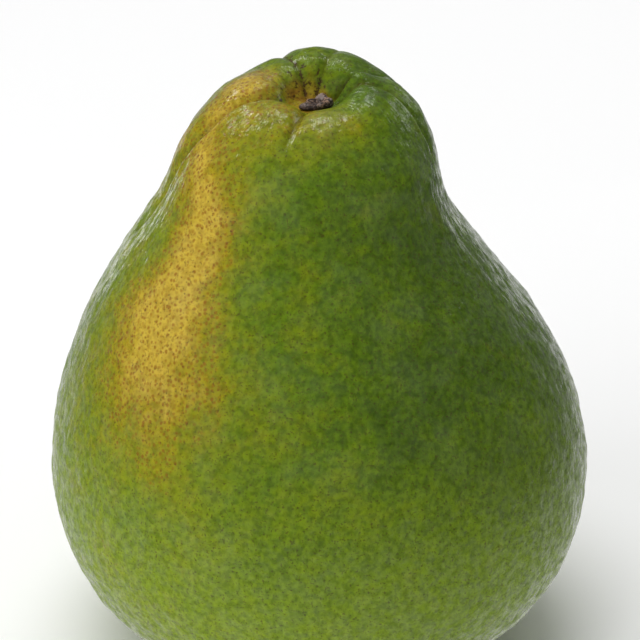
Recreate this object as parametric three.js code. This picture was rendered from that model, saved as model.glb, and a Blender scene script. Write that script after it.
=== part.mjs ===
// A honey pomelo: a pear-shaped citrus fruit with a lobed crown, and the dried calyx in its stem hollow.
// Millimetres, +Z up. The origin is the centre of the small flat spot that the fruit rests on.
// Azimuths are degrees round +Z from +X, so the side with the open front furrow faces -Y.

import * as THREE from 'three';

// Driving dimensions
const BELLY_RADIUS = 72;
const CROWN_HEIGHT = 158;
const CALYX_RADIUS = 3.5;
const CALYX_HEIGHT = 1.7;

// Half section of the fruit as spline points: radius over BELLY_RADIUS, height over CROWN_HEIGHT
const FRUIT_SECTION = [
  // flat spot and base
  [0, 0], [0.208, 0], [0.431, 0], [0.712, 0.038], [0.912, 0.133],
  // belly
  [1.014, 0.272], [0.990, 0.437], [0.836, 0.595],
  // shoulder and neck
  [0.637, 0.722], [0.497, 0.816], [0.469, 0.892], [0.388, 0.947],
  // rim of the crown, stem hollow and its flat floor
  [0.292, 0.990], [0.181, 1], [0.118, 0.982], [0.088, 0.958], [0.059, 0.958], [0.029, 0.958], [0, 0.958],
];

// The crown leans to the front: it falls this much for each millimetre forward. The lean begins outside the level
// floor of the stem hollow, and fades out again over the neck
const CROWN_TILT = 0.2;
const TILT_BEGINS = [5.5, 13];
const TILT_FADES = [22, 56];

// Lobes whose crest stands higher or lower than the rest: azimuth and angular spread, distance down from the stem
// and breadth there
const CRESTS = [
  { azimuth: -25, spread: 28, rise: 2.2, down: 20, breadth: 11 },
  { azimuth: 45, spread: 20, rise: -1.0, down: 20, breadth: 11 },
  { azimuth: 88, spread: 26, rise: 0.8, down: 20, breadth: 11 },
  { azimuth: 140, spread: 26, rise: -1.5, down: 20, breadth: 11 },
  { azimuth: 14, spread: 30, rise: 2.6, down: 12.5, breadth: 4.5 },
];

// The furrows that part the lobes, each running down from the stem hollow. azimuths: at the stem, pull of the
// middle, and at the foot. reach: length down the side. lip: raised edge, on the side of larger azimuth if positive
const FURROWS = [
  { name: 'right', azimuths: [10, -26, 10], depth: 2.1, halfWidth: 2.4, reach: 76, lip: -0.7 },
  { name: 'back right', azimuths: [48, 24, 20], depth: 3.4, halfWidth: 2.2, reach: 52, lip: 0 },
  { name: 'back', azimuths: [84, 70, 74], depth: 1.1, halfWidth: 1.5, reach: 38, lip: 0 },
  { name: 'back left', azimuths: [97, 127, 102], depth: 1.5, halfWidth: 1.8, reach: 42, lip: 0 },
  { name: 'left', azimuths: [193, 196, 173], depth: 4.2, halfWidth: 2.2, reach: 84, lip: 0.7 },
  { name: 'front', azimuths: [262, 254, 254], depth: 2.2, halfWidth: 1.9, reach: 33, lip: 0 },
];
const LIP_OFFSET = 3.6;
const LIP_WIDTH = 1.5;

// The upper body bends to the left, most of all at this height
const LEAN = -4.64;
const LEAN_HEIGHT = 119;
const LEAN_SPAN = 30;

// Waves round the body, which is not quite round: count, size and turn
const WAVES = [[2, 0.008, 0.9], [3, 0.006, -0.6], [5, 0.004, 2.0]];

// Half section of the calyx: share of its outline, share of its height
const CALYX_SECTION = [
  [0, 0], [0.45, 0], [0.88, 0], [1.08, 0.3], [0.98, 0.95], [0.74, 1.12], [0.52, 0.82], [0.26, 0.5], [0, 0.46],
];
const CALYX_OUTLINE = [[2, 0.18, -0.87], [5, 0.08, 0.6], [3, 0.06, 1.9]];
const CALYX_RISES = [[1, 0.42, -0.4], [5, 0.14, 0.6], [3, 0.1, 2.4]];
const CALYX_SHIFT = 1.0;
const CLEARANCE = 0.3;

// Fineness
const SPAN_STEPS = 60;
const FRUIT_ROWS = 46;
const FRUIT_COLUMNS = 72;
const CALYX_ROWS = 16;
const CALYX_COLUMNS = 40;
const CROWDING = 0.1;

const { degToRad, smoothstep, lerp } = THREE.MathUtils;

function bell(distance, width) {
  return Math.exp(-((distance / width) ** 2));
}

// Sum of cosines round the axis
function waves(list, azimuth) {
  return list.reduce((sum, [count, size, turn]) => sum + size * Math.cos(count * azimuth + turn), 0);
}

// A uniform cubic spline through a half section, mirrored in the axis at both ends so that it closes smoothly.
// It runs from the last point to the first, with the distance travelled at each sample.
function sampleSection(section, radius, height) {
  const points = section.map(([across, up]) => new THREE.Vector2(across * radius, up * height)).reverse();
  const mirror = (point) => new THREE.Vector2(-point.x, point.y);
  const ring = [mirror(points[1]), ...points, mirror(points[points.length - 2])];
  const samples = [];
  for (let span = 0; span < ring.length - 3; span += 1) {
    const last = span === ring.length - 4;
    for (let step = 0; step < SPAN_STEPS + (last ? 1 : 0); step += 1) {
      const t = step / SPAN_STEPS;
      const weights = [(1 - t) ** 3, 3 * t ** 3 - 6 * t ** 2 + 4, -3 * t ** 3 + 3 * t ** 2 + 3 * t + 1, t ** 3];
      const point = new THREE.Vector2();
      weights.forEach((weight, index) => point.addScaledVector(ring[span + index], weight / 6));
      samples.push(point);
    }
  }
  const travelled = [0];
  for (let index = 1; index < samples.length; index += 1) {
    travelled.push(travelled[index - 1] + samples[index].distanceTo(samples[index - 1]));
  }
  return { samples, travelled };
}

// Rows down a sampled section, closer together where the radius is small: place, distance and outward normal
function placeRows({ samples, travelled }, count, evenRadius) {
  const dense = samples.map((point) => 1 / (0.25 + 0.75 * Math.min(point.x / evenRadius, 1)));
  const weight = [0];
  for (let index = 1; index < samples.length; index += 1) {
    const step = travelled[index] - travelled[index - 1];
    weight.push(weight[index - 1] + (step * (dense[index] + dense[index - 1])) / 2);
  }
  const total = weight[weight.length - 1];
  const rows = [];
  let index = 0;
  for (let row = 0; row < count; row += 1) {
    const wanted = (total * row) / (count - 1);
    while (index < samples.length - 2 && weight[index + 1] < wanted) index += 1;
    const share = (wanted - weight[index]) / (weight[index + 1] - weight[index]);
    const point = samples[index].clone().lerp(samples[index + 1], share);
    const along = samples[index + 1].clone().sub(samples[index]).normalize();
    const normal = new THREE.Vector2(-along.y, along.x);
    rows.push({ point, normal, down: lerp(travelled[index], travelled[index + 1], share) });
  }
  return rows;
}

// A closed mesh from rows of vertices round the axis, with one vertex at each end of it
function closeRows(name, rows, columns, vertexAt, material) {
  const inner = rows.length - 2;
  const positions = [];
  for (let row = 1; row <= inner; row += 1) {
    for (let column = 0; column < columns; column += 1) positions.push(...vertexAt(rows[row], column));
  }
  positions.push(...vertexAt(rows[0], 0), ...vertexAt(rows[inner + 1], 0));
  const top = inner * columns;
  const bottom = top + 1;
  const index = [];
  for (let column = 0; column < columns; column += 1) {
    const next = (column + 1) % columns;
    index.push(top, column, next);
    index.push(bottom, (inner - 1) * columns + next, (inner - 1) * columns + column);
    for (let row = 0; row < inner - 1; row += 1) {
      const upper = row * columns;
      const lower = upper + columns;
      index.push(upper + column, lower + column, lower + next);
      index.push(upper + column, lower + next, upper + next);
    }
  }
  const geometry = new THREE.BufferGeometry();
  geometry.setAttribute('position', new THREE.Float32BufferAttribute(positions, 3));
  geometry.setIndex(index);
  geometry.computeVertexNormals();
  const mesh = new THREE.Mesh(geometry, material);
  mesh.name = name;
  return mesh;
}

// Azimuth of a furrow's floor at a distance down from the stem
function furrowAzimuth(furrow, down) {
  const t = Math.min(down / furrow.reach, 1);
  const [stem, pull, foot] = furrow.azimuths;
  return degToRad((1 - t) ** 2 * stem + 2 * t * (1 - t) * pull + t ** 2 * foot);
}

// Columns follow the furrows down the crown and crowd beside them, so that each crease stays sharp
function columnAzimuth(column, down) {
  const sectors = FURROWS.map((furrow, index) => {
    const next = FURROWS[(index + 1) % FURROWS.length];
    const turn = index === FURROWS.length - 1 ? 2 * Math.PI : 0;
    return { furrow, next, turn, width: degToRad(next.azimuths[1] - furrow.azimuths[1]) + turn };
  });
  let before = 0;
  for (const { furrow, next, turn, width } of sectors) {
    const share = Math.round((FRUIT_COLUMNS * (before + width)) / (2 * Math.PI));
    const first = Math.round((FRUIT_COLUMNS * before) / (2 * Math.PI));
    if (column < share) {
      const t = (column - first) / (share - first);
      const crowded = t - CROWDING * Math.sin(2 * Math.PI * t);
      return lerp(furrowAzimuth(furrow, down), furrowAzimuth(next, down) + turn, crowded);
    }
    before += width;
  }
  throw new Error('no such column');
}

// How deep the furrows press the rind in at one place, less the raised lip beside some of them
function furrowDepth(azimuth, radius, down) {
  let depth = 0;
  let lip = 0;
  for (const furrow of FURROWS) {
    const turn = azimuth - furrowAzimuth(furrow, down);
    const aside = Math.atan2(Math.sin(turn), Math.cos(turn)) * Math.max(radius, 1);
    const along = smoothstep(down, 2, 9) * (1 - smoothstep(down, 0.45 * furrow.reach, furrow.reach));
    const narrow = 0.35 + 0.65 * smoothstep(down, 4, 20);
    const width = furrow.halfWidth * narrow * (1 + 1.4 * smoothstep(down, 20, 20 + furrow.reach));
    const pressed = furrow.depth * along * Math.exp(-((Math.hypot(aside, 0.35) / width) ** 1.15));
    depth = Math.max(depth, pressed) + 0.25 * Math.min(depth, pressed);
    const beside = aside - Math.sign(furrow.lip) * LIP_OFFSET;
    lip += Math.abs(furrow.lip) * along * smoothstep(down, 12, 26) * bell(beside, LIP_WIDTH);
  }
  return depth - lip;
}

// Height added to the crown by its lean and by its uneven lobes
function crownRise(azimuth, radius, down) {
  const leaning = smoothstep(down, ...TILT_BEGINS) * (1 - smoothstep(down, ...TILT_FADES));
  const tilt = CROWN_TILT * radius * Math.sin(azimuth) * leaning;
  return CRESTS.reduce((sum, crest) => {
    const turn = azimuth - degToRad(crest.azimuth);
    const aside = Math.atan2(Math.sin(turn), Math.cos(turn));
    return sum + crest.rise * bell(aside, degToRad(crest.spread)) * bell(down - crest.down, crest.breadth);
  }, tilt);
}

function leanAt(height) {
  return LEAN * bell(height - LEAN_HEIGHT, LEAN_SPAN);
}

function fruitVertex({ point, normal, down }, column) {
  const azimuth = columnAzimuth(column, down);
  const depth = furrowDepth(azimuth, point.x, down);
  const radius = point.x - normal.x * depth;
  const height = point.y - normal.y * depth + crownRise(azimuth, point.x, down);
  const round = smoothstep(down, 40, 100) * smoothstep(height, 0, 30);
  const swollen = radius * (1 + round * waves(WAVES, azimuth));
  return [swollen * Math.cos(azimuth) + leanAt(height), swollen * Math.sin(azimuth), height];
}

function calyxVertex({ point }, column) {
  const azimuth = (2 * Math.PI * column) / CALYX_COLUMNS;
  const radius = point.x * (1 + waves(CALYX_OUTLINE, azimuth));
  const edge = Math.min(point.x / CALYX_RADIUS, 1);
  const height = point.y * (1 + edge * waves(CALYX_RISES, azimuth));
  return [radius * Math.cos(azimuth), radius * Math.sin(azimuth), height];
}

const rind = new THREE.MeshStandardMaterial({ color: 0x5f7f22, roughness: 0.42, metalness: 0 });
const driedCalyx = new THREE.MeshStandardMaterial({ color: 0x57412f, roughness: 0.85, metalness: 0 });

const fruitRows = placeRows(sampleSection(FRUIT_SECTION, BELLY_RADIUS, CROWN_HEIGHT), FRUIT_ROWS, 45);
const fruit = closeRows('fruit', fruitRows, FRUIT_COLUMNS, fruitVertex, rind);

const calyxRows = placeRows(sampleSection(CALYX_SECTION, CALYX_RADIUS, CALYX_HEIGHT), CALYX_ROWS, 4);
const calyx = closeRows('calyx_button', calyxRows, CALYX_COLUMNS, calyxVertex, driedCalyx);
const seatHeight = FRUIT_SECTION[FRUIT_SECTION.length - 1][1] * CROWN_HEIGHT;
calyx.position.set(leanAt(seatHeight) + CALYX_SHIFT, 0, seatHeight + CLEARANCE);

const pomelo = new THREE.Group();
pomelo.add(fruit, calyx);

export default pomelo;
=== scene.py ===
"""A honey pomelo: the fine rind, the dried calyx, their materials, and the studio round them."""
import math

import bpy
import numpy as np
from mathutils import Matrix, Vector, noise


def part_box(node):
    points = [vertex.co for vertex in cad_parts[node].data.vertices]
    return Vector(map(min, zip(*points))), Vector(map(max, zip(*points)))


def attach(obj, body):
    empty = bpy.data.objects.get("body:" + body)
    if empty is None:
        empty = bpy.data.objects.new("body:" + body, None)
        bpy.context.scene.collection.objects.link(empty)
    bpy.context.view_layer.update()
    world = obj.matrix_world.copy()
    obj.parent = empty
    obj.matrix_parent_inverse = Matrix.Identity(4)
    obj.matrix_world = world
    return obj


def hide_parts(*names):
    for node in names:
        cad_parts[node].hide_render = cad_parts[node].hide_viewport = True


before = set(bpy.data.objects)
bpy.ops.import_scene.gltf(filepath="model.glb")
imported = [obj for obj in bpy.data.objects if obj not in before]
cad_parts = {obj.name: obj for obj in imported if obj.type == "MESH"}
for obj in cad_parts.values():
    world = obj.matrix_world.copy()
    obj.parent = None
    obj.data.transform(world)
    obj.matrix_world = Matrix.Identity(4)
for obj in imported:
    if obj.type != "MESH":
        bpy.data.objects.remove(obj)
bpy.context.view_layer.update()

MM = 0.001

# Driving dimensions of the fruit in millimetres, before they are fitted to the frame
BELLY_RADIUS = 72.0
CROWN_HEIGHT = 158.0
FRUIT_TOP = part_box("fruit")[1].z / MM

# Half section of the fruit as spline points: radius over BELLY_RADIUS, height over CROWN_HEIGHT
FRUIT_SECTION = [
    # flat spot and base
    (0, 0), (0.208, 0), (0.431, 0), (0.712, 0.038), (0.912, 0.133),
    # belly
    (1.014, 0.272), (0.990, 0.437), (0.836, 0.595),
    # shoulder and neck
    (0.637, 0.722), (0.497, 0.816), (0.469, 0.892), (0.388, 0.947),
    # rim of the crown, stem hollow and its flat floor
    (0.292, 0.990), (0.181, 1), (0.118, 0.982), (0.088, 0.958), (0.059, 0.958), (0.029, 0.958), (0, 0.958),
]

# The crown leans to the front: its fall for each millimetre forward
CROWN_TILT = 0.2
# Distances down from the stem between which the lean begins and fades
TILT_BEGINS = (5.5, 13)
TILT_FADES = (22, 56)

# Lobes whose crest stands higher or lower: azimuth, angular spread, rise, distance down, breadth there
CRESTS = [
    (-25, 28, 2.2, 20, 11), (45, 20, -1.0, 20, 11), (88, 26, 0.8, 20, 11), (140, 26, -1.5, 20, 11),
    (14, 30, 2.6, 12.5, 4.5),
]

# Furrows: azimuths at the stem, pull of the middle and at the foot, then depth, half width, reach, lip
FURROWS = [
    ((10, -26, 10), 2.1, 2.4, 76, -0.7),
    ((48, 24, 20), 3.4, 2.2, 52, 0),
    ((84, 70, 74), 1.1, 1.5, 38, 0),
    ((97, 127, 102), 1.5, 1.8, 42, 0),
    ((193, 196, 173), 4.2, 2.2, 84, 0.7),
    ((262, 254, 254), 2.2, 1.9, 33, 0),
]
# A lip is a raised edge beside a furrow, on the side of larger azimuth if positive
LIP_OFFSET = 3.6
LIP_WIDTH = 1.5
LIP_BEGINS = (12, 26)

# A furrow begins between these distances down, and fades from this share of its reach
FURROW_BEGINS = (2, 9)
FURROW_FADES_FROM = 0.45

# Share of its half width at the stem, distances down between which it gains the rest, and later widening
FURROW_AT_STEM = 0.35
FURROW_BROADENS = (4, 20)
FURROW_WIDENS_FROM = 20
FURROW_WIDENING = 1.4

# A furrow's cross section: roundness of its floor, sharpness, and the share added where two furrows meet
FURROW_ROUNDNESS = 0.35
FURROW_SHARPNESS = 1.15
FURROW_OVERLAP = 0.25

# The crease on a furrow's floor, brown and partly painted shade: its half width, and the depth of a furrow
# with a full crease
CREASE_WIDTH = 0.75
CREASE_DEPTH = 2.5

# The upper body bends to the left
LEAN = -4.64
LEAN_HEIGHT = 119
LEAN_SPAN = 30

# Waves round the body: count, size and turn
WAVES = [(2, 0.008, 0.9), (3, 0.006, -0.6), (5, 0.004, 2.0)]
# Distances down and heights between which the waves come in
WAVES_BEGIN = (40, 100)
WAVES_ABOVE = (0, 30)

# Unevenness of the rind in millimetres: size of the swellings and how far they stand
SWELLINGS = [(17.0, 0.36), (8.5, 0.32), (3.6, 0.27)]
# Distances down and heights between which the swellings come in
SWELLINGS_BEGIN = (3, 12)
SWELLINGS_ABOVE = (0, 9)
# Each size draws on another stretch of the noise, shifted by its size times this
NOISE_SHIFT = 7.3

# Blossom scar in the middle of the underside: radius of the dimple, its depth and the corky spot
UNDERSIDE_RADIUS = 30
DIMPLE_RADIUS = 5.5
DIMPLE_DEPTH = 0.9
SPOT_RADIUS = 2.2

# Half section of the calyx as spline points: share of its outline, share of its height
CALYX_RADIUS = 3.5
CALYX_HEIGHT = 1.7
CALYX_SECTION = [
    # foot
    (0, 0), (0.45, 0), (0.88, 0), (1.08, 0.3),
    # rim and cup
    (0.98, 0.95), (0.74, 1.12), (0.52, 0.82), (0.26, 0.5), (0, 0.46),
]

# Waves of the calyx's outline and of its height: count, size and turn
CALYX_OUTLINE = [(2, 0.18, -0.87), (5, 0.08, 0.6), (3, 0.06, 1.9)]
CALYX_RISES = [(1, 0.42, -0.4), (5, 0.14, 0.6), (3, 0.1, 2.4)]
CALYX_SHIFT = 1.0

# Lumps of the calyx: size, how far they stand and shift of the noise
CALYX_LUMPS = [(1.6, 0.28, 3.1), (0.6, 0.13, 9.7), (0.22, 0.05, 1.3)]
# Heights in millimetres between which the lumps begin
LUMPS_ABOVE = (0.0, 0.5)
# How high a point of the calyx stands, as a share of its height, counts up to this for its painted light and
# shade
HIGHEST_CREST = 1.2

# Fineness of the meshes: samples of a spline's span, rows, columns, and the radius where rows stand evenly
SPAN_STEPS = 60
FRUIT_ROWS = 206
FRUIT_COLUMNS = 480
FRUIT_EVEN_RADIUS = 45
CALYX_ROWS = 70
CALYX_COLUMNS = 180
CALYX_EVEN_RADIUS = 4
# On the axis the rows have this share of their spacing, and beside the furrows the columns crowd by this
CLOSEST_ROWS = 0.25
CROWDING = 0.1

# Ripeness, from 0 for green to 1 for ochre. The riper side, also made lighter as painted light where the key
# lamp falls: azimuth, angular spread, strength
RIPE_AND_LIT_SIDE = (216, 68, 0.40)
# The band down it: azimuth of its middle, angular spread and strength, each by distance down from the stem
BAND_MIDDLE = [(14, 160), (21, 168), (28, 184), (40, 216), (50, 227), (80, 227), (120, 228)]
BAND_SPREAD = [(14, 34), (28, 24), (45, 17), (65, 17), (95, 20), (120, 26)]
BAND_STRENGTH = [
    (8, 0.0), (18, 0.50), (34, 0.38), (50, 0.70), (78, 0.88), (92, 0.56), (112, 0.20), (135, 0.0),
]
# Smaller riper or greener places: azimuth, distance down, reach in millimetres, strength. The one at azimuth
# 95 on the back lobe is partly painted light, a lighter rim there
RIPE_SPOTS = [
    (252, 20, 13, 0.12), (278, 20, 9, 0.28), (305, 23, 6, 0.22), (75, 9, 9, 0.2), (162, 32, 16, 0.30),
    (176, 48, 15, 0.32), (95, 26, 14, 0.16), (6, 20, 12, 0.13), (215, 66, 9, -0.18), (178, 28, 8, -0.10),
    (166, 19, 7, 0.12),
]

# Distances down from the stem between which the rind turns paler
PALE_FROM_TO = (96, 168)

# Dark corky scabs round the stem: azimuth, distance down, reach along and across the furrow
SCABS = [
    (192, 8.2, 0.9, 0.6), (189, 9.8, 0.7, 0.45), (180, 8.8, 0.5, 0.4), (197, 7.0, 0.5, 0.5),
    (106, 7.6, 1.0, 0.45), (105, 9.3, 0.5, 0.6), (109, 11.4, 1.5, 0.32), (106, 13.4, 0.5, 0.5),
    (112, 15.8, 1.0, 0.38), (113, 18.6, 1.3, 0.26), (111, 20.4, 0.4, 0.4), (113, 22.6, 1.0, 0.22),
    (82, 7.4, 0.9, 0.55), (80, 9.4, 0.8, 0.35), (84, 11.2, 0.4, 0.3), (97, 9.0, 0.35, 0.35),
    (70, 8.6, 0.4, 0.3), (122, 9.8, 0.4, 0.4), (126, 13.0, 0.6, 0.3), (134, 7.4, 0.5, 0.4),
    (146, 8.2, 0.5, 0.35), (158, 10.6, 0.4, 0.3),
]

# The brown stain round the stem: azimuth and angular spread of the side where it reaches furthest
STAIN_SIDE = (118, 62)
# Its reach on the other sides, the extra reach there, and the share of its reach from which it fades
STAIN_REACH = (6.0, 9.5)
STAIN_FADES_FROM = 0.35

# Rind colours by ripeness
RIND_COLOURS = [
    (0.00, (0.058, 0.108, 0.006, 1)),
    (0.16, (0.085, 0.148, 0.006, 1)),
    (0.38, (0.140, 0.188, 0.006, 1)),
    (0.58, (0.200, 0.206, 0.006, 1)),
    (0.78, (0.290, 0.224, 0.010, 1)),
    (1.00, (0.455, 0.318, 0.036, 1)),
]
PALE_RIND = (0.225, 0.325, 0.018, 1)
FLECK = (0.85, 0.85, 0.60, 1)
SHADOW = (0.12, 0.14, 0.10, 1)
GREEN_SPECK = (0.032, 0.055, 0.004, 1)
BROWN_SPECK = (0.225, 0.075, 0.004, 1)
HOLLOW_OCHRE = (0.330, 0.230, 0.018, 1)
HOLLOW_BROWN = (0.270, 0.115, 0.014, 1)
SCAB_BROWN = (0.050, 0.022, 0.008, 1)
CREASE_BROWN_AND_SHADE = (0.070, 0.050, 0.006, 1)
# A whitish wax bloom, partly painted sheen
BLOOM_AND_SHEEN = (0.380, 0.430, 0.330, 1)
SCAR_BROWN = (0.110, 0.070, 0.035, 1)

# Ripeness drifts in patches of these sizes in millimetres, by so much up or down
RIPE_DRIFTS = [(26, 0.10), (7, 0.07), (2.2, 0.05)]

# Oil glands: their pitch, disorder, and the share of their depth that counts
GLAND_PITCH = 1.62
GLAND_DISORDER = 0.65
GLAND_DEPTH_SHARE = 0.4
# Size and reach of the drift that pushes the glands about
DRIFT_SIZE = 3.0
DRIFT_REACH = 0.9
# Distances from a gland between which its speck and its pore fade
SPECK_EDGE = (0.64, 0.26)
PORE_EDGE = (0.10, 0.60)

# Fine wrinkles down the neck: width, how many times longer they are, and the radius where that holds
WRINKLE_PITCH = 1.7
WRINKLE_STRETCH = 5.0
NECK_RADIUS = 42.0

# Sizes in millimetres of the patches of the rind's colour and wax
MOTTLE_SIZE = 1.6
SPECK_PATCH = 2.6
BROWN_PATCH = 2.2
RAGGED_STAIN = 7.0
RAGGED_SCAB = 0.55
BLOOM_AND_SHEEN_PATCH = 12.0
WAX_PATCH = 2.6

# Relief of the rind and of the wax on it: size in millimetres and height in metres
SOFT_RELIEF = (3.6, 0.0006)
LUMP_RELIEF = (1.8, 0.00034)
WAX_RELIEF = (2.2, 0.0003)
# Height in metres of the relief of the pores, of the wrinkles and of the calyx
PORE_RELIEF = 0.00003
WRINKLE_RELIEF = 0.0003
CORK_RELIEF = 0.0003
# Distances down between which the pores begin and the lumps grow, and how much they grow
PORES_BEGIN = (8, 24)
LUMPS_GROW = (70, 120)
LUMPS_GROWTH = 1.6

# Calyx colours, and the sizes in millimetres of its grain, of its dark and pale patches and of its pits
CORK_BLACK = (0.018, 0.010, 0.008, 1)
CORK_BROWN = (0.080, 0.046, 0.034, 1)
CORK_TAN = (0.290, 0.175, 0.115, 1)
CORK_GREY = (0.230, 0.180, 0.160, 1)
CORK_GRAIN = 0.5
DARK_PATCH = 1.2
PALE_PATCH = 1.6
CORK_PIT = 1.1

# The floor: its colour, and how far it reaches in metres
FLOOR_GREY = (0.90, 0.90, 0.90, 1)
FLOOR_REACH = 12.0

# The camera: elevation in degrees, distance and target in metres, and the lens in millimetres
ELEVATION = 26.0
DISTANCE = 0.640
TARGET = Vector((0, 0, 0.083))
LENS = 135

# The photograph's frame in pixels, and where the fruit's axis and the camera's target stand in it
FRAME_PIXELS = 640
AXIS_COLUMN = 318.2
TARGET_ROW = 348.9

# The point that the lights face, in metres
LIT_POINT = Vector((0, 0, 0.10))

# Soft boxes, which light the rind without a gleam of their own: place, size and power in watts
SOFT_BOXES = [
    ((-0.85, -0.60, 0.60), 1.00, 7.0),
    ((0.10, 0.75, 1.00), 1.00, 3.4),
    ((0.90, -0.60, 0.30), 1.00, 1.3),
]

# Reflectors that only gleam in the wax: azimuth, elevation, distance, width, height, radiance
REFLECTORS = [
    (141, 47, 0.90, 0.26, 0.22, 10.0),
    (84, 68, 0.90, 0.26, 0.22, 8.0),
    (129, -2, 0.29, 0.04, 0.06, 1.7),
    (122, -8, 0.36, 0.09, 0.09, 0.4),
    (34, 32, 0.27, 0.10, 0.07, 2.6),
    (62, -8, 0.36, 0.09, 0.09, 0.6),
]

# The wide overhead light, which has no gleam either: where it comes from, its width in degrees and strength
OVERHEAD_FROM = (-0.2, 0.1, 1.0)
OVERHEAD_ANGLE = 50
OVERHEAD_STRENGTH = 1.65

# Light from all round
WORLD_STRENGTH = 0.27
# More light low behind the fruit: shares of a direction, backwards and upwards, between which it comes in
BACKDROP_BEHIND = (0.62, 0.92)
BACKDROP_LOW = (0.10, -0.10)
BACKDROP_STRENGTH = 0.22
# More light from below: shares of a direction, upwards, between which it comes in
TABLE_BELOW = (-0.15, -0.42)
TABLE_STRENGTH = 0.45


def bell(distance, width):
    return np.exp(-((distance / width) ** 2))


def smoothstep(x, low, high):
    t = np.clip((x - low) / (high - low), 0, 1)
    return t * t * (3 - 2 * t)


def waves(terms, azimuth):
    return sum(size * np.cos(count * azimuth + turn) for count, size, turn in terms)


def around(angle):
    """The same angle between minus half a turn and half a turn."""
    return np.arctan2(np.sin(angle), np.cos(angle))


def by_distance(pairs, down):
    places, values = zip(*pairs)
    return np.interp(down, places, values)


def sample_section(section, radius, height):
    """Points of a uniform cubic spline from the stem to the base, and the distance travelled at each."""
    points = np.array(section, float)[::-1] * [radius, height]
    ring = np.vstack([points[1] * [-1, 1], points, points[-2] * [-1, 1]])
    t = np.linspace(0, 1, SPAN_STEPS, endpoint=False)[:, None]
    weights = [(1 - t) ** 3, 3 * t**3 - 6 * t**2 + 4, -3 * t**3 + 3 * t**2 + 3 * t + 1, t**3]
    spans = [sum(w * ring[i + k] for k, w in enumerate(weights)) / 6 for i in range(len(ring) - 3)]
    end = (ring[-3] + 4 * ring[-2] + ring[-1]) / 6
    samples = np.vstack([*spans, end])
    return samples, np.concatenate([[0], np.cumsum(np.hypot(*np.diff(samples, axis=0).T))])


def place_rows(samples, travelled, count, even_radius):
    """Rows down the section, closer together where the radius is small: points, normals, distances."""
    outwards = np.minimum(samples[:, 0] / even_radius, 1)
    dense = 1 / (CLOSEST_ROWS + (1 - CLOSEST_ROWS) * outwards)
    weight = np.concatenate([[0], np.cumsum(np.diff(travelled) * (dense[1:] + dense[:-1]) / 2)])
    down = np.interp(np.linspace(0, weight[-1], count), weight, travelled)
    point = np.stack([np.interp(down, travelled, samples[:, k]) for k in (0, 1)], 1)
    slope = np.gradient(samples, travelled, axis=0)
    along = np.stack([np.interp(down, travelled, slope[:, k]) for k in (0, 1)], 1)
    along /= np.linalg.norm(along, axis=1)[:, None]
    return point, np.stack([-along[:, 1], along[:, 0]], 1), down


def furrow_azimuth(furrow, down):
    """Azimuth of a furrow's floor at a distance down from the stem."""
    (stem, pull, foot), _, _, reach, _ = furrow
    t = np.minimum(down / reach, 1)
    return np.radians((1 - t) ** 2 * stem + 2 * t * (1 - t) * pull + t**2 * foot)


def column_azimuths(columns, down):
    """A row of azimuths for each distance down: columns follow the furrows and crowd beside them."""
    sectors = []
    before = 0.0
    for index, furrow in enumerate(FURROWS):
        following = FURROWS[(index + 1) % len(FURROWS)]
        turn = 2 * np.pi if index == len(FURROWS) - 1 else 0.0
        width = np.radians(following[0][1] - furrow[0][1]) + turn
        first = round(columns * before / (2 * np.pi))
        last = round(columns * (before + width) / (2 * np.pi))
        t = np.linspace(0, 1, last - first, endpoint=False)
        crowded = t - CROWDING * np.sin(2 * np.pi * t)
        start = furrow_azimuth(furrow, down)[:, None]
        stop = furrow_azimuth(following, down)[:, None] + turn
        sectors.append(start + (stop - start) * crowded)
        before += width
    return np.hstack(sectors)


def furrow_fields(azimuth, radius, down):
    """How deep the furrows press the rind in, how high their lips stand, and where the creases get their brown
    and painted shade.
    """
    depth = np.zeros(azimuth.shape)
    lips = np.zeros(azimuth.shape)
    crease_and_shade = np.zeros(azimuth.shape)
    for furrow in FURROWS:
        _, deep, half_width, reach, lip = furrow
        aside = around(azimuth - furrow_azimuth(furrow, down)) * np.maximum(radius, 1)
        along = smoothstep(down, *FURROW_BEGINS) * (1 - smoothstep(down, FURROW_FADES_FROM * reach, reach))
        narrow = FURROW_AT_STEM + (1 - FURROW_AT_STEM) * smoothstep(down, *FURROW_BROADENS)
        wider = smoothstep(down, FURROW_WIDENS_FROM, FURROW_WIDENS_FROM + reach)
        width = half_width * narrow * (1 + FURROW_WIDENING * wider)
        pressed = deep * along * np.exp(-((np.hypot(aside, FURROW_ROUNDNESS) / width) ** FURROW_SHARPNESS))
        depth = np.maximum(depth, pressed) + FURROW_OVERLAP * np.minimum(depth, pressed)
        beside = aside - np.sign(lip) * LIP_OFFSET
        lips += abs(lip) * along * smoothstep(down, *LIP_BEGINS) * bell(beside, LIP_WIDTH)
        crease_and_shade = np.maximum(crease_and_shade, along * bell(aside, CREASE_WIDTH) * min(deep / CREASE_DEPTH, 1))
    return depth, lips, crease_and_shade


def crown_rise(azimuth, radius, down):
    """Height added to the crown by its lean and by its uneven lobes."""
    leaning = smoothstep(down, *TILT_BEGINS) * (1 - smoothstep(down, *TILT_FADES))
    rise = CROWN_TILT * radius * np.sin(azimuth) * leaning
    for where, spread, stand, place, breadth in CRESTS:
        across = bell(around(azimuth - math.radians(where)), math.radians(spread))
        rise = rise + stand * across * bell(down - place, breadth)
    return rise


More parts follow.
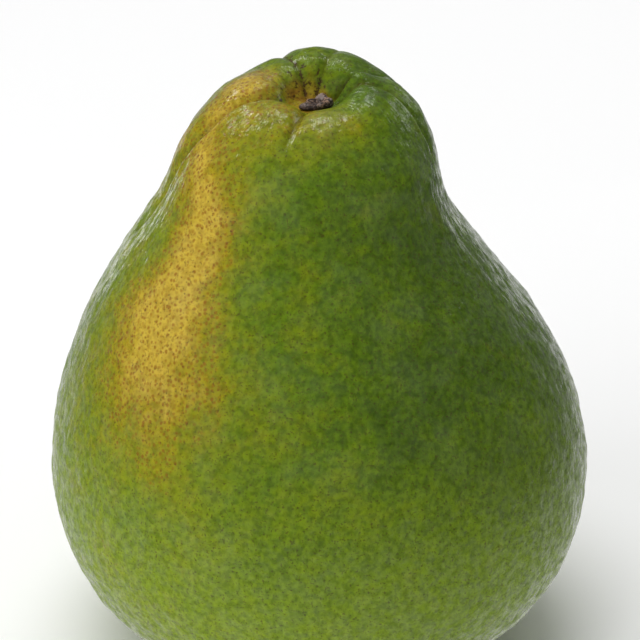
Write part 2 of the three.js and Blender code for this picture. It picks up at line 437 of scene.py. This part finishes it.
def ripeness(azimuth, radius, down):
    side, spread, most = RIPE_AND_LIT_SIDE
    ripe = most * bell(around(azimuth - math.radians(side)), math.radians(spread))
    middle = np.radians(by_distance(BAND_MIDDLE, down))
    spread = np.radians(by_distance(BAND_SPREAD, down))
    ripe = ripe + by_distance(BAND_STRENGTH, down) * bell(around(azimuth - middle), spread)
    for where, place, reach, strength in RIPE_SPOTS:
        aside = around(azimuth - math.radians(where)) * radius
        ripe = ripe + strength * bell(np.hypot(aside, down - place), reach)
    return ripe


def scabs(azimuth, radius, down):
    dark = np.zeros(azimuth.shape)
    for where, place, along, across in SCABS:
        aside = around(azimuth - math.radians(where)) * radius
        dark = np.maximum(dark, bell(np.hypot(aside / across, (down - place) / along), 1))
    return dark


def stain(azimuth, down):
    side, spread = STAIN_SIDE
    near, further = STAIN_REACH
    reach = near + further * bell(around(azimuth - math.radians(side)), math.radians(spread))
    return 1 - smoothstep(down / reach, STAIN_FADES_FROM, 1)


def lean_at(height):
    return LEAN * bell(height - LEAN_HEIGHT, LEAN_SPAN)


def grid_normals(grid):
    """Outward normals of a grid of points whose columns close round the axis."""
    down = np.gradient(grid, axis=0)
    across = np.roll(grid, -1, 1) - np.roll(grid, 1, 1)
    normal = np.cross(down, across)
    length = np.linalg.norm(normal, axis=2)
    return normal / np.maximum(length, 1e-9)[..., None]


def noise_at(grid, size, shift):
    """Smooth noise between about -1 and 1, with features of the given size."""
    points = (grid.reshape(-1, 3) / size + shift).tolist()
    return np.array([noise.noise(point) for point in points]).reshape(grid.shape[:2])


def close_rows(name, grid, fields):
    """A mesh from a grid of points in millimetres, its first and last row each drawn in to one vertex."""
    inner = grid[1:-1]
    rows, columns = inner.shape[:2]
    ends = np.stack([grid[0].mean(0), grid[-1].mean(0)])
    vertices = np.vstack([inner.reshape(-1, 3), ends]) * MM
    faces = []
    for row in range(rows - 1):
        upper = row * columns
        lower = upper + columns
        for column in range(columns):
            following = (column + 1) % columns
            faces.append((upper + column, lower + column, lower + following, upper + following))
    top = rows * columns
    bottom = top + 1
    last = top - columns
    for column in range(columns):
        following = (column + 1) % columns
        faces.append((top, column, following))
        faces.append((bottom, last + following, last + column))
    mesh = bpy.data.meshes.new(name)
    mesh.from_pydata(vertices.tolist(), [], faces)
    mesh.shade_smooth()
    for field, values in fields.items():
        layer = mesh.attributes.new(field, "FLOAT", "POINT")
        whole = np.concatenate([values[1:-1].ravel(), [values[0].mean(), values[-1].mean()]])
        layer.data.foreach_set("value", whole.astype(np.float32))
    thing = bpy.data.objects.new(name, mesh)
    bpy.context.scene.collection.objects.link(thing)
    return thing


def make_rind():
    """The fruit's rind, and the factor that fits the formula to the frame's height."""
    samples, travelled = sample_section(FRUIT_SECTION, BELLY_RADIUS, CROWN_HEIGHT)
    point, normal, down = place_rows(samples, travelled, FRUIT_ROWS, FRUIT_EVEN_RADIUS)
    azimuth = column_azimuths(FRUIT_COLUMNS, down)
    radius, height, down = point[:, :1], point[:, 1:], down[:, None]
    depth, lips, crease_and_shade = furrow_fields(azimuth, radius, down)
    pressed = depth - lips
    across = radius - normal[:, :1] * pressed
    up = height - normal[:, 1:] * pressed + crown_rise(azimuth, radius, down)
    wavy = smoothstep(down, *WAVES_BEGIN) * smoothstep(up, *WAVES_ABOVE)
    swollen = across * (1 + wavy * waves(WAVES, azimuth))
    x = swollen * np.cos(azimuth) + lean_at(up)
    grid = np.stack([x, swollen * np.sin(azimuth), up], -1)
    fit = FRUIT_TOP / up.max()
    bumps = sum(stand * noise_at(grid, size, NOISE_SHIFT * size) for size, stand in SWELLINGS)
    rising = smoothstep(up, *SWELLINGS_ABOVE) * smoothstep(down, *SWELLINGS_BEGIN)
    grid = grid + grid_normals(grid) * (bumps * rising)[..., None]
    under = (radius < UNDERSIDE_RADIUS) & (down > travelled[-1] / 2)
    grid[..., 2] += DIMPLE_DEPTH * np.where(under, bell(radius, DIMPLE_RADIUS), 0)
    fields = {
        "down": down + 0 * azimuth,
        "crease_and_shade": crease_and_shade,
        "ripe": ripeness(azimuth, radius, down),
        "pale": smoothstep(down, *PALE_FROM_TO) + 0 * azimuth,
        "scab": scabs(azimuth, radius, down),
        "stain": stain(azimuth, down),
        "scar": np.where(under, bell(radius, SPOT_RADIUS), 0) + 0 * azimuth,
    }
    return close_rows("rind", grid * fit, fields), fit


def make_calyx(fit):
    """The dried calyx on the floor of the stem hollow."""
    samples, travelled = sample_section(CALYX_SECTION, CALYX_RADIUS, CALYX_HEIGHT)
    point, _, _ = place_rows(samples, travelled, CALYX_ROWS, CALYX_EVEN_RADIUS)
    azimuth = np.linspace(0, 2 * np.pi, CALYX_COLUMNS, endpoint=False)[None]
    edge = np.minimum(point[:, :1] / CALYX_RADIUS, 1)
    radius = point[:, :1] * (1 + waves(CALYX_OUTLINE, azimuth))
    height = point[:, 1:] * (1 + edge * waves(CALYX_RISES, azimuth))
    grid = np.stack([radius * np.cos(azimuth), radius * np.sin(azimuth), height], -1)
    lumps = sum(stand * noise_at(grid, size, shift) for size, stand, shift in CALYX_LUMPS)
    free = smoothstep(point[:, 1:], *LUMPS_ABOVE)
    grid = grid + grid_normals(grid) * (lumps * free)[..., None]
    # The height share paints the calyx's top paler as painted light and its lower parts darker as painted
    # shade.
    lit_crest = np.clip(grid[..., 2] / CALYX_HEIGHT, 0, HIGHEST_CREST)
    seat = FRUIT_SECTION[-1][1] * CROWN_HEIGHT
    grid = grid + [lean_at(seat) + CALYX_SHIFT, 0, seat]
    return close_rows("calyx", grid * fit, {"lit_crest": lit_crest})


class Graph:
    """A short way to write the nodes of a material or a world. Inputs are numbers, colours or sockets."""

    def __init__(self, holder):
        holder.use_nodes = True
        self.holder = holder
        self.tree = holder.node_tree
        self.shader = self.tree.nodes.get("Principled BSDF")
        place = self.tree.nodes.new("ShaderNodeTexCoord")
        self.direction = place.outputs["Generated"]
        self.place = self.scaled(place.outputs["Object"], 1 / MM)

    def set(self, node, name, value):
        socket = node.inputs[name]
        if isinstance(value, bpy.types.NodeSocket):
            self.tree.links.new(value, socket)
        else:
            socket.default_value = value

    def node(self, kind, values, **settings):
        made = self.tree.nodes.new(kind)
        for name, value in settings.items():
            setattr(made, name, value)
        for name, value in values.items():
            self.set(made, name, value)
        return made

    def vector(self, operation, first, second=(0, 0, 0), output="Vector"):
        return self.node("ShaderNodeVectorMath", {0: first, 1: second}, operation=operation).outputs[output]

    def scaled(self, vector, factor):
        return self.node("ShaderNodeVectorMath", {0: vector, "Scale": factor}, operation="SCALE").outputs[0]

    def field(self, name):
        return self.node("ShaderNodeAttribute", {}, attribute_name=name).outputs["Fac"]

    def noise(self, size, detail=2.0, roughness=0.5, place=None):
        values = {"Vector": place or self.place, "Scale": 1 / size, "Detail": detail, "Roughness": roughness}
        return self.node("ShaderNodeTexNoise", values).outputs["Fac"]

    def from_cell_centre(self, pitch, disorder, place, depth_share):
        """Distance in millimetres to the nearest random point, whose depth counts by a share only."""
        values = {"Vector": place, "Scale": 1 / pitch, "Randomness": disorder}
        centre = self.node("ShaderNodeTexVoronoi", values).outputs["Position"]
        normal = self.node("ShaderNodeTexCoord", {}).outputs["Normal"]
        offset = self.vector("SUBTRACT", centre, place)
        depth = self.vector("DOT_PRODUCT", offset, normal, "Value")
        shift = self.scaled(normal, self.math("MULTIPLY", depth, depth_share - 1))
        return self.vector("LENGTH", self.vector("ADD", offset, shift), output="Value")

    def colours(self, value, stops):
        """The colour that the value falls on, between stops of value and colour."""
        made = self.node("ShaderNodeValToRGB", {"Fac": value})
        elements = made.color_ramp.elements
        for index, (place, colour) in enumerate(stops):
            element = elements[index] if index < 2 else elements.new(place)
            element.position = place
            element.color = colour
        return made.outputs["Color"]

    def ramp(self, value, low, high, start=0.0, stop=1.0):
        """Smoothly from start to stop as the value goes from low to high."""
        names = ("Value", "From Min", "From Max", "To Min", "To Max")
        values = dict(zip(names, (value, low, high, start, stop)))
        return self.node("ShaderNodeMapRange", values, interpolation_type="SMOOTHSTEP").outputs["Result"]

    def math(self, operation, first, second):
        return self.node("ShaderNodeMath", {0: first, 1: second}, operation=operation).outputs[0]

    def mix(self, share, first, second, blend="MIX"):
        values = {"Fac": share, "Color1": first, "Color2": second}
        return self.node("ShaderNodeMixRGB", values, blend_type=blend).outputs[0]

    def bump(self, height, distance, normal=None):
        values = {"Height": height, "Distance": distance, "Strength": 1.0}
        if normal is not None:
            values["Normal"] = normal
        return self.node("ShaderNodeBump", values).outputs["Normal"]


def distance_from_gland(g):
    """Distance in millimetres to the nearest oil gland, with the glands pushed about."""
    drift = g.node("ShaderNodeTexNoise", {"Vector": g.place, "Scale": 1 / DRIFT_SIZE, "Detail": 1.0})
    loose = g.vector("ADD", g.place, g.scaled(drift.outputs["Color"], DRIFT_REACH))
    return g.from_cell_centre(GLAND_PITCH, GLAND_DISORDER, loose, GLAND_DEPTH_SHARE)


def drawn_out_place(g):
    """A place for wrinkles, which keep their width round the neck and are drawn out along it."""
    outward = g.vector("NORMALIZE", g.vector("MULTIPLY", g.place, (1, 1, 0)))
    lengthwise = g.vector("MULTIPLY", g.place, (0, 0, 1 / WRINKLE_STRETCH))
    return g.vector("ADD", g.scaled(outward, NECK_RADIUS), lengthwise)


def drifting_ripeness(g):
    ripe = g.field("ripe")
    for size, share in RIPE_DRIFTS:
        ripe = g.math("ADD", ripe, g.ramp(g.noise(size, 3), 0.3, 0.7, -share, share))
    return ripe


def hollow_share(g):
    """How brown the rind is stained, in the stem hollow and round it."""
    ragged = g.math("ADD", g.field("stain"), g.ramp(g.noise(RAGGED_STAIN, 3), 0.2, 0.8, -0.25, 0.25))
    return g.ramp(ragged, 0.12, 0.75)


def mottled_ground(g, ripe):
    """Green to ochre by ripeness, which carries some painted light on the left, paler low down, with light
    flecks and shadows.
    """
    ground = g.colours(ripe, RIND_COLOURS)
    ground = g.mix(g.math("MULTIPLY", g.field("pale"), 0.7), ground, PALE_RIND)
    mottle = g.noise(MOTTLE_SIZE, 1.5)
    ground = g.mix(g.ramp(mottle, 0.42, 0.68, 0.0, 0.34), ground, FLECK, "SOFT_LIGHT")
    return g.mix(g.ramp(mottle, 0.52, 0.32, 0.0, 0.32), ground, SHADOW, "SOFT_LIGHT")


def with_specks(g, skin, ripe, from_gland):
    """A speck on each oil gland, faint on the green and orange-brown on the yellow."""
    speck = g.mix(g.ramp(ripe, 0.25, 0.60), GREEN_SPECK, BROWN_SPECK)
    yellow = g.ramp(ripe, 0.45, 0.85)
    strength = g.math("MULTIPLY", g.ramp(from_gland, *SPECK_EDGE), g.ramp(yellow, 0.0, 0.6, 0.16, 0.72))
    uneven = g.ramp(g.noise(SPECK_PATCH, 3), 0.35, 0.62, 0.45, 1.0)
    return g.mix(g.math("MULTIPLY", strength, uneven), skin, speck)


def with_stains(g, skin, hollow):
    """The brown stem hollow, the creases in brown and painted shade, the scabs round the stem and the blossom
    scar.
    """
    stained = g.mix(g.ramp(g.noise(BROWN_PATCH, 3), 0.40, 0.62), HOLLOW_OCHRE, HOLLOW_BROWN)
    skin = g.mix(g.math("MULTIPLY", hollow, 0.75), skin, stained)
    # Painted shade along the furrow floors, mixed with their brown: darker where a furrow is deeper.
    skin = g.mix(g.math("MULTIPLY", g.field("crease_and_shade"), 0.60), skin, CREASE_BROWN_AND_SHADE)
    ragged = g.math("ADD", g.field("scab"), g.ramp(g.noise(RAGGED_SCAB, 3), 0.3, 0.7, -0.45, 0.45))
    skin = g.mix(g.ramp(ragged, 0.25, 0.55, 0.0, 0.85), skin, SCAB_BROWN)
    return g.mix(g.ramp(g.field("scar"), 0.15, 0.6), skin, SCAR_BROWN)


def set_relief(g, from_gland):
    """Soft swellings and lumps on the rind, wrinkles and ripples on the wax, and the glands' pores in both."""
    down = g.field("down")
    pores = g.math("MULTIPLY", g.ramp(from_gland, *PORE_EDGE), g.ramp(down, *PORES_BEGIN))
    soft_size, soft_height = SOFT_RELIEF
    lump_size, lump_height = LUMP_RELIEF
    wax_size, wax_height = WAX_RELIEF
    lumps = g.math("MULTIPLY", g.noise(lump_size, 3, 0.55), g.ramp(down, *LUMPS_GROW, 1.0, LUMPS_GROWTH))
    rough = g.bump(lumps, lump_height, g.bump(g.noise(soft_size), soft_height))
    g.set(g.shader, "Normal", g.bump(pores, PORE_RELIEF, rough))
    wrinkled = g.bump(g.noise(WRINKLE_PITCH, place=drawn_out_place(g)), WRINKLE_RELIEF)
    waxy = g.bump(g.noise(wax_size), wax_height, wrinkled)
    g.set(g.shader, "Coat Normal", g.bump(pores, PORE_RELIEF, waxy))


def rind_material():
    g = Graph(bpy.data.materials.new("waxy_rind"))
    from_gland = distance_from_gland(g)
    ripe = drifting_ripeness(g)
    hollow = hollow_share(g)
    skin = with_specks(g, mottled_ground(g, ripe), ripe, from_gland)
    skin = with_stains(g, skin, hollow)
    film_and_sheen = g.ramp(g.noise(BLOOM_AND_SHEEN_PATCH, 4, 0.6), 0.45, 0.70)
    # A faint whitish bloom in patches, partly real wax bloom and partly painted sheen.
    g.set(g.shader, "Base Color", g.mix(g.math("MULTIPLY", film_and_sheen, 0.04), skin, BLOOM_AND_SHEEN))
    g.set(g.shader, "Roughness", g.ramp(film_and_sheen, 0.0, 1.0, 0.38, 0.50))
    g.set(g.shader, "IOR", 1.33)
    g.set(g.shader, "Specular IOR Level", 0.04)
    patchy = g.ramp(g.noise(WAX_PATCH), 0.38, 0.60, 0.30, 0.90)
    g.set(g.shader, "Coat Weight", g.math("MULTIPLY", patchy, g.ramp(hollow, 0.0, 1.0, 1.0, 0.2)))
    g.set(g.shader, "Coat Roughness", 0.17)
    g.set(g.shader, "Coat IOR", 1.42)
    set_relief(g, from_gland)
    return g.holder


def calyx_material():
    g = Graph(bpy.data.materials.new("corky_calyx"))
    grain = g.noise(CORK_GRAIN, 4, 0.65)
    # Painted light and shade: pale cork on the high parts, dark cork lower down, with ragged edges from the
    # grain.
    lit_crest = g.ramp(g.math("ADD", g.field("lit_crest"), g.ramp(grain, 0.3, 0.7, -0.3, 0.3)), 0.45, 1.00)
    dark = g.mix(g.ramp(g.noise(DARK_PATCH, 3), 0.35, 0.65), CORK_BLACK, CORK_BROWN)
    pale = g.mix(g.ramp(g.noise(PALE_PATCH), 0.4, 0.6), CORK_TAN, CORK_GREY)
    pits = g.ramp(g.noise(CORK_PIT, 3), 0.47, 0.56, 0.0, 0.92)
    skin = g.mix(pits, g.mix(lit_crest, dark, pale), CORK_BLACK)
    g.set(g.shader, "Base Color", skin)
    g.set(g.shader, "Roughness", 0.82)
    g.set(g.shader, "Normal", g.bump(grain, CORK_RELIEF))
    return g.holder


def floor_material():
    g = Graph(bpy.data.materials.new("pale_floor"))
    g.set(g.shader, "Base Color", FLOOR_GREY)
    g.set(g.shader, "Roughness", 0.8)
    return g.holder


def make_floor():
    reach = FLOOR_REACH
    corners = [(-reach, -reach, 0), (reach, -reach, 0), (reach, reach, 0), (-reach, reach, 0)]
    mesh = bpy.data.meshes.new("floor")
    mesh.from_pydata(corners, [], [(0, 1, 2, 3)])
    mesh.materials.append(floor_material())
    floor = bpy.data.objects.new("floor", mesh)
    bpy.context.scene.collection.objects.link(floor)
    floor.visible_glossy = False


def aim(thing, place, target):
    thing.location = place
    thing.rotation_mode = "QUATERNION"
    thing.rotation_quaternion = (Vector(target) - Vector(place)).to_track_quat("-Z", "Y")


def make_camera():
    camera = bpy.data.objects.new("camera", bpy.data.cameras.new("camera"))
    bpy.context.scene.collection.objects.link(camera)
    camera.data.lens = LENS
    tilt = math.radians(ELEVATION)
    aim(camera, TARGET + Vector((0, -math.cos(tilt), math.sin(tilt))) * DISTANCE, TARGET)
    camera.data.shift_x = (FRAME_PIXELS / 2 - AXIS_COLUMN) / FRAME_PIXELS
    camera.data.shift_y = (TARGET_ROW - FRAME_PIXELS / 2) / FRAME_PIXELS
    bpy.context.scene.camera = camera


def make_area_light(name, place, size, power):
    lamp = bpy.data.objects.new(name, bpy.data.lights.new(name, "AREA"))
    bpy.context.scene.collection.objects.link(lamp)
    lamp.data.shape = "RECTANGLE"
    lamp.data.size, lamp.data.size_y = size
    lamp.data.energy = power
    lamp.visible_camera = False
    aim(lamp, place, LIT_POINT)
    return lamp


def make_overhead_light():
    overhead = bpy.data.objects.new("overhead", bpy.data.lights.new("overhead", "SUN"))
    bpy.context.scene.collection.objects.link(overhead)
    overhead.data.angle = math.radians(OVERHEAD_ANGLE)
    overhead.data.energy = OVERHEAD_STRENGTH
    overhead.visible_glossy = False
    aim(overhead, OVERHEAD_FROM, (0, 0, 0))


def make_surroundings():
    """Dim all round, a little brighter low behind the fruit, and brighter below it, as over a pale table."""
    world = bpy.data.worlds.new("studio")
    bpy.context.scene.world = world
    g = Graph(world)
    towards = g.node("ShaderNodeSeparateXYZ", {0: g.direction}).outputs
    behind = g.ramp(towards["Y"], *BACKDROP_BEHIND)
    low = g.ramp(towards["Z"], *BACKDROP_LOW)
    backdrop = g.math("MULTIPLY", g.math("MULTIPLY", behind, low), BACKDROP_STRENGTH)
    table = g.ramp(towards["Z"], *TABLE_BELOW, 0.0, TABLE_STRENGTH)
    background = g.tree.nodes["Background"]
    g.set(background, "Color", (1, 1, 1, 1))
    g.set(background, "Strength", g.math("ADD", g.math("ADD", backdrop, table), WORLD_STRENGTH))


def make_lights():
    for index, (place, size, power) in enumerate(SOFT_BOXES):
        make_area_light(f"soft_box_{index}", place, (size, size), power).visible_glossy = False
    for index, (azimuth, elevation, distance, width, height, radiance) in enumerate(REFLECTORS):
        turn, rise = math.radians(azimuth), math.radians(elevation)
        towards = Vector((math.cos(rise) * math.cos(turn), math.cos(rise) * math.sin(turn), math.sin(rise)))
        power = radiance * math.pi * width * height
        place = LIT_POINT + towards * distance
        make_area_light(f"reflector_{index}", place, (width, height), power).visible_diffuse = False
    make_overhead_light()
    make_surroundings()


rind, fit = make_rind()
rind.data.materials.append(rind_material())
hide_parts("fruit")
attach(rind, "root")

calyx = make_calyx(fit)
calyx.data.materials.append(calyx_material())
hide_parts("calyx_button")
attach(calyx, "root")

make_floor()
make_camera()
make_lights()
bpy.context.scene.view_settings.view_transform = "Standard"
